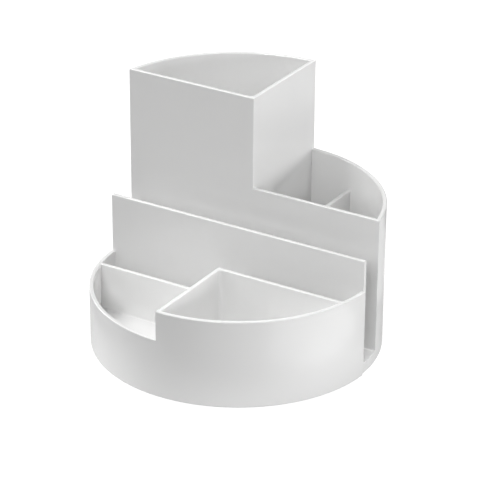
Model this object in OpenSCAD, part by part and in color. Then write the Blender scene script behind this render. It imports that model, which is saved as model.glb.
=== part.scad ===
// Round desk organizer: one drum of thin moulded walls, split into the walls that make it up.
// Millimetres. +Z up, origin on the desk under the middle, +X along the letter slot,
// +Y towards the tall pen compartment. Where two walls meet, the first keeps its full section
// and the second is cut to fit it, so no two nodes overlap and every rim runs on unbroken.

/* [Body] */
// outside diameter at the rim of the tall compartment
body_d = 140; // [120:1:170]
// how much the outside leans in per mm of depth, so that the part leaves its mould
draft = 0.003; // [0:0.001:0.01]
// thickness of every upright wall
wall = 2; // [1.6:0.1:2.6]
// rounding of every rim
rim_r = 0.45; // [0.2:0.05:0.6]
// hollow fillet where a wall stands on the floor
floor_r = 1; // [0.4:0.1:1.2]
// hollow fillet where two straight walls meet
corner_r = 1.6; // [1.3:0.1:2.4]
// how far the wall round tray and bin stands proud of the rest
front_step = 0.8; // [0.2:0.05:1.2]

/* [Heights] */
// tall pen compartment, rear left
tower_h = 119.5; // [95:0.5:150]
// rear right pockets and the back of the letter slot
rear_h = 73.5; // [66:0.5:90]
// panel in front of the letter slot
slot_h = 59.3; // [52:0.1:64]
// divider inside the rear right quarter
rear_div_h = 59; // [40:1:64]
// wall round the front right bin
front_h = 44.1; // [36:0.1:50]
// wall round the front left tray
tray_h = 29.3; // [20:0.1:34]

/* [Base] */
// top of the floor above the desk
floor_z = 5.7; // [4.5:0.1:9]
// thickness of the floor, which leaves a recess below
floor_t = 2; // [1.5:0.25:3]
// rounding where the outside meets the desk
foot_r = 0.8; // [0.3:0.1:1.2]

/* [Layout] */
// front face of the panel behind the letter slot
slot_back_y = 12.6; // [10:0.1:18]
// clear width of the letter slot
slot_gap = 13.3; // [8:0.1:16]
// clear depth of the trough in front of the slot panel
trough = 13.8; // [8:0.2:16]
// right face of the tall compartment
tower_x = 0.75; // [-6:0.05:6]
// left face of the divider between tray and bin
front_div_x = -0.45; // [-10:0.05:8]
// left face of the divider in the rear right quarter
rear_div_x = 23.4; // [14:0.1:36]

/* [Hidden] */
$fn = 96;
far = 100;
slot_front_y = slot_back_y - slot_gap - wall;
part_y = slot_front_y - trough - wall;
tower_left = tower_x - wall;
under_z = floor_z - floor_t;

// outside radius at height z
function out_r(z) = body_d / 2 - draft * (tower_h - z);

// quarter of a disc of radius r about c, on the side that s points to
module quarter(c, r, s) {
    intersection() {
        translate(c) circle(r);
        translate([min(c.x, c.x + s.x * r), min(c.y, c.y + s.y * r)]) square(r);
    }
}

// hollow fillet of radius r in the corner c; s points away from the corner into the room
module hollow(c, r, s) {
    difference() {
        translate([min(c.x, c.x + s.x * r), min(c.y, c.y + s.y * r)]) square(r);
        translate([c.x + s.x * r, c.y + s.y * r]) circle(r);
    }
}

// section of a straight wall from x = 0 to wall: rounded rim, fillets at the floor
module wall_section(h) {
    translate([0, floor_z]) square([wall, h - rim_r - floor_z]);
    translate([rim_r, h - rim_r]) square([wall - 2 * rim_r, rim_r]);
    quarter([rim_r, h - rim_r], rim_r, [-1, 1]);
    quarter([wall - rim_r, h - rim_r], rim_r, [1, 1]);
    hollow([0, floor_z], floor_r, [-1, 1]);
    hollow([wall, floor_z], floor_r, [1, 1]);
}

// straight wall along X, front face at y
module wall_x(y, h, x0 = -far, x1 = far) {
    translate([x0, y, 0]) rotate([90, 0, 90]) linear_extrude(x1 - x0) wall_section(h);
}

// straight wall along Y, left face at x
module wall_y(x, h, y0 = -far, y1 = far) {
    translate([x, y1, 0]) rotate([90, 0, 0]) linear_extrude(y1 - y0) wall_section(h);
}

// fillet in the upright corner at x, y between two straight walls; s points into the room,
// and into is how far the fillet goes into each wall to fill the end of its rounded rim
module corner(x, y, h, s, into = [rim_r, rim_r]) {
    reach = corner_r + rim_r;
    translate([x + s.x * corner_r, y + s.y * corner_r, 0]) intersection() {
        rotate_extrude() {
            translate([corner_r, floor_z]) square([reach, h - rim_r - floor_z]);
            translate([corner_r + rim_r, h - rim_r]) square([reach - rim_r, rim_r]);
            quarter([corner_r + rim_r, h - rim_r], rim_r, [-1, 1]);
            hollow([corner_r, floor_z], floor_r, [-1, 1]);
        }
        translate([min(0, -s.x * (corner_r + into.x)), min(0, -s.y * (corner_r + into.y)), 0])
            cube([corner_r + into.x, corner_r + into.y, h]);
    }
}

// the drum filled to height h, with its top edge rounded; step is how far it stands proud
module drum(h, step = 0) {
    r = out_r(h - rim_r) + step;
    rotate_extrude() {
        polygon([[0, floor_z], [out_r(floor_z) + step, floor_z], [r, h - rim_r],
                 [r - rim_r, h - rim_r], [r - rim_r, h], [0, h]]);
        quarter([r - rim_r, h - rim_r], rim_r, [1, 1]);
    }
}

// the room inside the round wall, up to height h
module room(h) {
    low = floor_z + floor_r;
    r = out_r(low) - wall;
    rotate_extrude() {
        polygon([[0, floor_z], [r - floor_r, floor_z], [r - floor_r, low], [r, low],
                 [out_r(h) - wall, h], [0, h]]);
        quarter([r - floor_r, low], floor_r, [1, -1]);
    }
}

// round wall of height h, all the way round; step is how far it stands proud
module round_wall(h, step = 0) {
    low = floor_z + floor_r;
    r = out_r(h - rim_r) + step;
    inner = out_r(low) + step - wall;
    rotate_extrude() {
        polygon([[inner, floor_z], [out_r(floor_z) + step, floor_z], [r, h - rim_r],
                 [r - rim_r, h - rim_r], [r - rim_r, h], [r - wall + rim_r, h],
                 [r - wall + rim_r, h - rim_r], [r - wall, h - rim_r], [inner, low]]);
        quarter([r - rim_r, h - rim_r], rim_r, [1, 1]);
        quarter([r - wall + rim_r, h - rim_r], rim_r, [-1, 1]);
        hollow([inner, floor_z], floor_r, [-1, 1]);
    }
}

// the part of a round wall between two x and two y
module arc_wall(h, x0, x1, y0, y1, step = 0) {
    intersection() {
        round_wall(h, step);
        translate([x0, y0, 0]) cube([x1 - x0, y1 - y0, h]);
    }
}

// what lies in front of the letter slot's front panel
module front_part() {
    intersection() {
        children();
        translate([-far, -far, 0]) cube([2 * far, far + slot_front_y, tower_h]);
    }
}

// what lies behind the front face of that panel
module rear_part() {
    intersection() {
        children();
        translate([-far, slot_front_y, 0]) cube([2 * far, far, tower_h]);
    }
}

// ring under the outer wall, all the way round
module whole_foot(step) {
    low = out_r(0) + step;
    edge = out_r(foot_r) + step;
    top = out_r(under_z) + step;
    rotate_extrude() {
        polygon([[low - wall, 0], [edge - foot_r, 0], [edge - foot_r, foot_r], [edge, foot_r],
                 [top, under_z], [top - wall, under_z]]);
        quarter([edge - foot_r, foot_r], foot_r, [1, -1]);
    }
}

// disc that the floor is cut from
module whole_floor(step) {
    translate([0, 0, under_z])
        cylinder(h = floor_t, r1 = out_r(under_z) + step, r2 = out_r(floor_z) + step);
}

// takes the sharp edge off a rim end at x, along Y; s is the side that the wall is on
module rim_end(x, z, y0, y1, s) {
    difference() {
        translate([min(x - s, x + s * rim_r), y0, z - rim_r]) cube([1 + rim_r, y1 - y0, 1 + rim_r]);
        translate([x + s * rim_r, y1 + 1, z - rim_r]) rotate([90, 0, 0])
            cylinder(h = y1 - y0 + 2, r = rim_r);
    }
}

// takes the sharp edge off an upright corner at x, y above z; s points into the wall
module upright_edge(x, y, z, h, s) {
    difference() {
        translate([min(x - s.x, x + s.x * rim_r), min(y - s.y, y + s.y * rim_r), z])
            cube([1 + rim_r, 1 + rim_r, h]);
        translate([x + s.x * rim_r, y + s.y * rim_r, z - 1]) cylinder(h = h + 2, r = rim_r);
    }
}

// ring that stands on the desk under the outer wall
module foot_ring() {
    color("white") {
        rear_part() whole_foot(0);
        front_part() whole_foot(front_step);
    }
}

// floor of every compartment
module base_floor() {
    color("white") {
        rear_part() whole_floor(0);
        front_part() whole_floor(front_step);
    }
}

// panel behind the letter slot, high at the left and low at the right
module slot_back_panel() {
    color("white") {
        difference() {
            intersection() {
                wall_x(slot_back_y, tower_h, x1 = tower_x);
                drum(tower_h);
            }
            rim_end(tower_x, tower_h, 0, 40, -1);
            upright_edge(tower_x, slot_back_y, rear_h, 60, [-1, 1]);
        }
        intersection() {
            wall_x(slot_back_y, rear_h, x0 = tower_x);
            drum(rear_h);
        }
    }
}

// panel in front of the letter slot
module slot_front_panel() {
    color("white") intersection() {
        wall_x(slot_front_y, slot_h);
        union() {
            drum(slot_h);
            front_part() drum(slot_h, front_step);
        }
    }
}

// right side of the tall compartment
module tower_side_panel() {
    back_y = slot_back_y + wall;
    color("white") {
        difference() {
            intersection() {
                union() {
                    wall_y(tower_left, tower_h, y0 = back_y - wall / 2);
                    corner(tower_left, back_y, tower_h, [-1, 1]);
                }
                drum(tower_h);
            }
            wall_x(slot_back_y, tower_h);
        }
        difference() {
            corner(tower_x, back_y, rear_h, [1, 1], into = [0, rim_r]);
            wall_x(slot_back_y, rear_h);
        }
    }
}

// curved back of the tall compartment
module tower_curved_wall() {
    color("white") difference() {
        arc_wall(tower_h, -far, tower_x - wall / 2, slot_back_y + wall / 2, far);
        wall_x(slot_back_y, tower_h);
        wall_y(tower_left, tower_h);
    }
}

// curved back of the rear right pockets
module rear_curved_wall() {
    color("white") difference() {
        arc_wall(rear_h, tower_x, far, slot_back_y + wall / 2, far);
        wall_x(slot_back_y, rear_h);
        wall_y(tower_left, tower_h);
    }
}

// lower divider between the two rear right pockets
module rear_divider() {
    back_y = slot_back_y + wall;
    color("white") difference() {
        intersection() {
            union() {
                wall_y(rear_div_x, rear_div_h, y0 = back_y - wall / 2);
                corner(rear_div_x, back_y, rear_div_h, [-1, 1]);
                corner(rear_div_x + wall, back_y, rear_div_h, [1, 1]);
            }
            room(rear_h);
        }
        wall_x(slot_back_y, rear_h);
    }
}

// back of the bin, whose left end stands above the tray
module bin_back_panel() {
    color("white") difference() {
        intersection() {
            wall_x(part_y, front_h, x0 = front_div_x);
            cylinder(h = front_h, r = out_r(0) + front_step - wall / 2);
        }
        round_wall(front_h, front_step);
        rim_end(front_div_x, front_h, part_y - 1, part_y + wall + 1, 1);
        upright_edge(front_div_x, part_y + wall, tray_h, 30, [1, -1]);
    }
}

// divider between tray and bin, with the end that shows as the step in the front rim
module front_divider() {
    color("white") difference() {
        intersection() {
            union() {
                wall_y(front_div_x, front_h, y1 = part_y + wall / 2);
                corner(front_div_x + wall, part_y, front_h, [1, -1]);
            }
            drum(front_h, front_step);
        }
        wall_x(part_y, front_h);
    }
}

// curved front of the bin
module front_wall_high() {
    color("white") difference() {
        arc_wall(front_h, front_div_x + wall / 2, far, -far, slot_front_y, front_step);
        wall_y(front_div_x, front_h);
        wall_x(slot_front_y, slot_h);
    }
}

// curved front of the tray
module front_wall_low() {
    color("white") difference() {
        arc_wall(tray_h, -far, front_div_x, -far, slot_front_y, front_step);
        wall_y(front_div_x, front_h);
        wall_x(slot_front_y, slot_h);
    }
}

// back of the tray
module tray_back_panel() {
    color("white") difference() {
        intersection() {
            union() {
                wall_x(part_y, tray_h, x1 = front_div_x);
                corner(front_div_x, part_y, tray_h, [-1, -1]);
            }
            cylinder(h = tray_h, r = out_r(0) + front_step - wall / 2);
        }
        round_wall(tray_h, front_step);
        wall_y(front_div_x, front_h, y1 = part_y);
        wall_x(part_y, front_h, x0 = front_div_x);
    }
}

foot_ring();
base_floor();
slot_back_panel();
slot_front_panel();
tower_side_panel();
tower_curved_wall();
rear_curved_wall();
rear_divider();
front_divider();
front_wall_high();
front_wall_low();
bin_back_panel();
tray_back_panel();
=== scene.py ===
# Round desk organizer in glossy white plastic: finish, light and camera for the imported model.
import bpy
from math import cos, pi, radians, sin
from mathutils import Matrix, Vector

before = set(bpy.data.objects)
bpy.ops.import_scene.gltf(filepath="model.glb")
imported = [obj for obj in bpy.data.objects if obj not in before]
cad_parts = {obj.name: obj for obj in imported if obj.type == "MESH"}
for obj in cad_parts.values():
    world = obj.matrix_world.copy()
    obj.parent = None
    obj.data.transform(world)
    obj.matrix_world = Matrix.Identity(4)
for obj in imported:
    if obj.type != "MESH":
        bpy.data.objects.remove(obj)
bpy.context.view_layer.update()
print("frame loaded:", len(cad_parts), "nodes")

mixColour = {"first": 6, "second": 7, "result": 2}  # a Mix node's sockets when it mixes colours


def addNode(tree, kind, place, **values):
    node = tree.nodes.new(kind)
    node.location = place
    for name, value in values.items():
        setattr(node, name, value)
    return node


def setInputs(node, **values):
    # an underscore in a name stands for the space in the socket's name
    for name, value in values.items():
        node.inputs[name.replace("_", " ")].default_value = value
    return node


def startGroup(name, inputs, outputs):
    # every socket is a plain number
    tree = bpy.data.node_groups.new(name, "ShaderNodeTree")
    for socket in inputs:
        tree.interface.new_socket(name=socket, in_out="INPUT", socket_type="NodeSocketFloat")
    for socket in outputs:
        tree.interface.new_socket(name=socket, in_out="OUTPUT", socket_type="NodeSocketFloat")
    return tree, addNode(tree, "NodeGroupInput", (-900, 0)), addNode(tree, "NodeGroupOutput", (700, 0))


def placeGroup(tree, group, place, values):
    return setInputs(addNode(tree, "ShaderNodeGroup", place, node_tree=group), **values)


def startMaterial(name):
    material = bpy.data.materials.new(name)
    material.use_nodes = True
    tree = material.node_tree
    tree.nodes.clear()
    output = addNode(tree, "ShaderNodeOutputMaterial", (900, 0))
    shader = addNode(tree, "ShaderNodeBsdfPrincipled", (600, 0))
    tree.links.new(shader.outputs["BSDF"], output.inputs["Surface"])
    return material, tree, shader


skinNoise = {
    "wave": {"Detail": 2.0, "Roughness": 0.45},
    "grain": {"Detail": 3.0, "Roughness": 0.6},
    "drift": {"Scale": 38.0, "Detail": 5.0, "Roughness": 0.62},  # how the gloss varies
}


def buildMouldedSkin(settings):
    # the faint waviness and fine grain that a polished mould leaves, and how the gloss drifts
    tree, given, result = startGroup(
        "mouldedSkin", ("Wave Size", "Grain Size", "Grain Share"), ("Height", "Gloss")
    )
    place = addNode(tree, "ShaderNodeTexCoord", (-900, 300))
    wave = addNode(tree, "ShaderNodeTexNoise", (-600, 300))
    grain = addNode(tree, "ShaderNodeTexNoise", (-600, 0))
    drift = addNode(tree, "ShaderNodeTexNoise", (-600, -300))
    share = addNode(tree, "ShaderNodeMath", (-300, 0), operation="MULTIPLY")
    total = addNode(tree, "ShaderNodeMath", (0, 200), operation="ADD")
    for noise, look in ((wave, "wave"), (grain, "grain"), (drift, "drift")):
        setInputs(noise, **settings[look])
        tree.links.new(place.outputs["Object"], noise.inputs["Vector"])
    tree.links.new(given.outputs["Wave Size"], wave.inputs["Scale"])
    tree.links.new(given.outputs["Grain Size"], grain.inputs["Scale"])
    tree.links.new(grain.outputs["Fac"], share.inputs[0])
    tree.links.new(given.outputs["Grain Share"], share.inputs[1])
    tree.links.new(wave.outputs["Fac"], total.inputs[0])
    tree.links.new(share.outputs["Value"], total.inputs[1])
    tree.links.new(total.outputs["Value"], result.inputs["Height"])
    tree.links.new(drift.outputs["Fac"], result.inputs["Gloss"])
    return tree


edgeRub = {
    "samples": 4,
    "unworn": 0.985,  # how alike the rounded and the plain normal are where wear starts
    "fullyWorn": 0.8,
    "patch": {"Detail": 4.0, "Roughness": 0.7},
}


def buildRimWear(settings):
    # 1 along the outer edges, where hands and the desk rub, 0 on the faces
    tree, given, result = startGroup("rimWear", ("Reach", "Break Up"), ("Mask",))
    rounded = addNode(tree, "ShaderNodeBevel", (-600, 200), samples=settings["samples"])
    plain = addNode(tree, "ShaderNodeNewGeometry", (-600, 0))
    place = addNode(tree, "ShaderNodeTexCoord", (-600, -250))
    turn = addNode(tree, "ShaderNodeVectorMath", (-350, 100), operation="DOT_PRODUCT")
    edge = addNode(tree, "ShaderNodeMapRange", (-100, 100))
    patch = addNode(tree, "ShaderNodeTexNoise", (-350, -250))
    worn = addNode(tree, "ShaderNodeMath", (200, 0), operation="MULTIPLY")
    setInputs(edge, From_Min=settings["unworn"], From_Max=settings["fullyWorn"], To_Min=0.0, To_Max=1.0)
    setInputs(patch, **settings["patch"])
    tree.links.new(given.outputs["Reach"], rounded.inputs["Radius"])
    tree.links.new(rounded.outputs["Normal"], turn.inputs[0])
    tree.links.new(plain.outputs["Normal"], turn.inputs[1])
    tree.links.new(turn.outputs["Value"], edge.inputs["Value"])
    tree.links.new(place.outputs["Object"], patch.inputs["Vector"])
    tree.links.new(given.outputs["Break Up"], patch.inputs["Scale"])
    tree.links.new(edge.outputs["Result"], worn.inputs[0])
    tree.links.new(patch.outputs["Fac"], worn.inputs[1])
    tree.links.new(worn.outputs["Value"], result.inputs["Mask"])
    return tree


mouldedSkin = buildMouldedSkin(skinNoise)
rimWear = buildRimWear(edgeRub)
print("shared effects built")

plastic = {
    "tint": (0.94, 0.94, 0.935, 1.0),
    "tintThick": (0.93, 0.93, 0.927, 1.0),
    "ior": 1.55,
    "drift": (0.3, 0.7),  # the stretch of the noise that the gloss follows
    "roughness": (0.15, 0.23),  # at the one end of that stretch and at the other
    "wearRoughness": 0.09,  # added on the worn edges
    "skin": {"Wave_Size": 55.0, "Grain_Size": 1400.0, "Grain_Share": 0.05},
    "wear": {"Reach": 0.0012, "Break_Up": 170.0},
    "waveHeight": 0.00003,
}


def makePlastic(name, settings):
    material, tree, shader = startMaterial(name)
    skin = placeGroup(tree, mouldedSkin, (-600, -100), settings["skin"])
    wear = placeGroup(tree, rimWear, (-600, -350), settings["wear"])
    tint = addNode(tree, "ShaderNodeMix", (200, 200), data_type="RGBA")
    gloss = addNode(tree, "ShaderNodeMapRange", (-200, 0))
    worn = addNode(tree, "ShaderNodeMath", (-200, -300), operation="MULTIPLY")
    roughness = addNode(tree, "ShaderNodeMath", (200, 0), operation="ADD")
    bump = addNode(tree, "ShaderNodeBump", (200, -250))
    low, high = settings["drift"]
    smooth, dull = settings["roughness"]
    tint.inputs[mixColour["first"]].default_value = settings["tint"]
    tint.inputs[mixColour["second"]].default_value = settings["tintThick"]
    worn.inputs[1].default_value = settings["wearRoughness"]
    setInputs(gloss, From_Min=low, From_Max=high, To_Min=smooth, To_Max=dull)
    setInputs(bump, Strength=1.0, Distance=settings["waveHeight"])
    setInputs(shader, IOR=settings["ior"])
    tree.links.new(skin.outputs["Gloss"], tint.inputs[0])
    tree.links.new(skin.outputs["Gloss"], gloss.inputs["Value"])
    tree.links.new(wear.outputs["Mask"], worn.inputs[0])
    tree.links.new(gloss.outputs["Result"], roughness.inputs[0])
    tree.links.new(worn.outputs["Value"], roughness.inputs[1])
    tree.links.new(skin.outputs["Height"], bump.inputs["Height"])
    tree.links.new(tint.outputs[mixColour["result"]], shader.inputs["Base Color"])
    tree.links.new(roughness.outputs["Value"], shader.inputs["Roughness"])
    tree.links.new(bump.outputs["Normal"], shader.inputs["Normal"])
    return material


glossyPlastic = makePlastic("glossyWhitePlastic", plastic)
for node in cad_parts.values():
    node.material_slots[0].material = glossyPlastic
print("plastic applied")

floorSheet = {
    "size": 8.0,
    "tint": (0.2, 0.2, 0.2, 1.0),  # what it takes up and throws back at the part
    "seen": (0.93, 0.93, 0.93, 1.0),  # how bright it looks straight on
    "unseen": (0.0, 0.0, 0.0, 1.0),  # how much of that brightness the part itself meets
    "roughness": 0.9,
    "fibre": {"Scale": 600.0, "Detail": 3.0},
    "fibreHeight": {"Strength": 0.2, "Distance": 0.00005},
}


def makeFloor(settings):
    bpy.ops.mesh.primitive_plane_add(size=settings["size"])
    floor = bpy.context.object
    floor.name = "paleFloor"
    material, tree, shader = startMaterial("palePaper")
    fibre = setInputs(addNode(tree, "ShaderNodeTexNoise", (-300, -200)), **settings["fibre"])
    bump = setInputs(addNode(tree, "ShaderNodeBump", (200, -200)), **settings["fibreHeight"])
    rays = addNode(tree, "ShaderNodeLightPath", (-300, 300))
    glow = addNode(tree, "ShaderNodeMix", (200, 200), data_type="RGBA")
    glow.inputs[mixColour["first"]].default_value = settings["unseen"]
    glow.inputs[mixColour["second"]].default_value = settings["seen"]
    setInputs(shader, Base_Color=settings["tint"], Roughness=settings["roughness"], Emission_Strength=1.0)
    tree.links.new(fibre.outputs["Fac"], bump.inputs["Height"])
    tree.links.new(bump.outputs["Normal"], shader.inputs["Normal"])
    tree.links.new(rays.outputs["Is Camera Ray"], glow.inputs[0])
    tree.links.new(glow.outputs[mixColour["result"]], shader.inputs["Emission Color"])
    floor.data.materials.append(material)
    return floor


# The lights' angles are in degrees, their azimuths round to the right from the viewer's side.
studio = {
    "viewAzimuth": 31.5,
    "distance": 2.0,
    "aim": Vector((0.0, 0.0, 0.05)),  # the softboxes point at this
    "glowHeight": 0.0001,  # the table's glow starts this far up, under the foot's rounding
}
softboxes = {
    # azimuth, elevation, width, height, power in watts
    "leftLow": (-120.0, 3.0, 0.7, 0.3, 12.0),
    "rightLow": (60.0, 3.0, 0.7, 0.3, 12.0),
    "frontLeft": (-60.0, 17.0, 0.7, 0.6, 5.0),
    "front": (-20.0, 38.0, 0.8, 0.8, 13.0),
    "right": (60.0, 38.0, 0.8, 0.8, 7.5),
    "left": (-140.0, 38.0, 0.8, 0.8, 8.0),
    "back": (140.0, 38.0, 0.8, 0.8, 12.0),
    "top": (-120.0, 60.0, 0.8, 0.8, 20.0),
}
tableGlows = {
    # the light that a bright table throws back: azimuth, distance from the middle, size, power in watts
    "tableMiddle": (0.0, 0.0, 0.18, 0.034),
    "tableRight": (45.0, 0.16, 0.12, 0.04),
    "tableBack": (115.0, 0.16, 0.12, 0.02),
    "tableFar": (90.0, 0.44, 0.4, 0.45),
}


def towards(azimuth, elevation):
    # the way from the part to a place round it; azimuth 0 is the front, 90 degrees its right side
    return Vector((sin(azimuth) * cos(elevation), -cos(azimuth) * cos(elevation), sin(elevation)))


def makeAreaLight(name, width, height, power):
    lamp = bpy.data.lights.new(name, "AREA")
    lamp.shape = "RECTANGLE"
    lamp.size = width
    lamp.size_y = height
    lamp.energy = power
    light = bpy.data.objects.new(name, lamp)
    bpy.context.scene.collection.objects.link(light)
    return light


def makeSoftbox(name, azimuth, elevation, width, height, power):
    box = makeAreaLight(name, width, height, power)
    away = towards(radians(azimuth + studio["viewAzimuth"]), radians(elevation))
    box.location = away * studio["distance"] + studio["aim"]
    box.rotation_mode = "QUATERNION"
    box.rotation_quaternion = away.to_track_quat("Z", "Y")
    return box


def makeTableGlow(name, azimuth, reach, size, power):
    # shines up from the table and isn't seen itself
    glow = makeAreaLight(name, size, size, power)
    around = radians(azimuth + studio["viewAzimuth"])
    glow.location = towards(around, 0.0) * reach + Vector((0.0, 0.0, studio["glowHeight"]))
    glow.rotation_euler = (pi, 0.0, around)
    glow.visible_camera = False
    return glow


makeFloor(floorSheet)
for name, settings in softboxes.items():
    makeSoftbox(name, *settings)
for name, settings in tableGlows.items():
    makeTableGlow(name, *settings)
print("studio lit with", len(softboxes), "softboxes and", len(tableGlows), "table glows")

camera = {
    "azimuth": 31.466,
    "elevation": 25.481,
    "roll": 0.287,
    "target": (0.0, 0.0, 0.055),
    "distance": 1.2457,
    "lens": 197.87,
    "sensor": 36.0,
    "shift": (0.0047, -0.0139),
    "clip": (0.05, 20.0),
}


def makeCamera(settings):
    data = bpy.data.cameras.new("viewCamera")
    data.lens = settings["lens"]
    data.sensor_width = settings["sensor"]
    data.shift_x, data.shift_y = settings["shift"]
    data.clip_start, data.clip_end = settings["clip"]
    azimuth = radians(settings["azimuth"])
    back = towards(azimuth, radians(settings["elevation"]))
    right = Vector((cos(azimuth), sin(azimuth), 0.0))
    up = back.cross(right)
    roll = radians(settings["roll"])
    across = right * cos(roll) + up * sin(roll)
    upright = up * cos(roll) - right * sin(roll)
    place = Matrix((across, upright, back)).transposed().to_4x4()
    place.translation = Vector(settings["target"]) + back * settings["distance"]
    eye = bpy.data.objects.new("viewCamera", data)
    eye.matrix_world = place
    bpy.context.scene.collection.objects.link(eye)
    bpy.context.scene.camera = eye
    return eye


makeCamera(camera)
bpy.context.scene.view_settings.view_transform = "Standard"
print("camera placed")
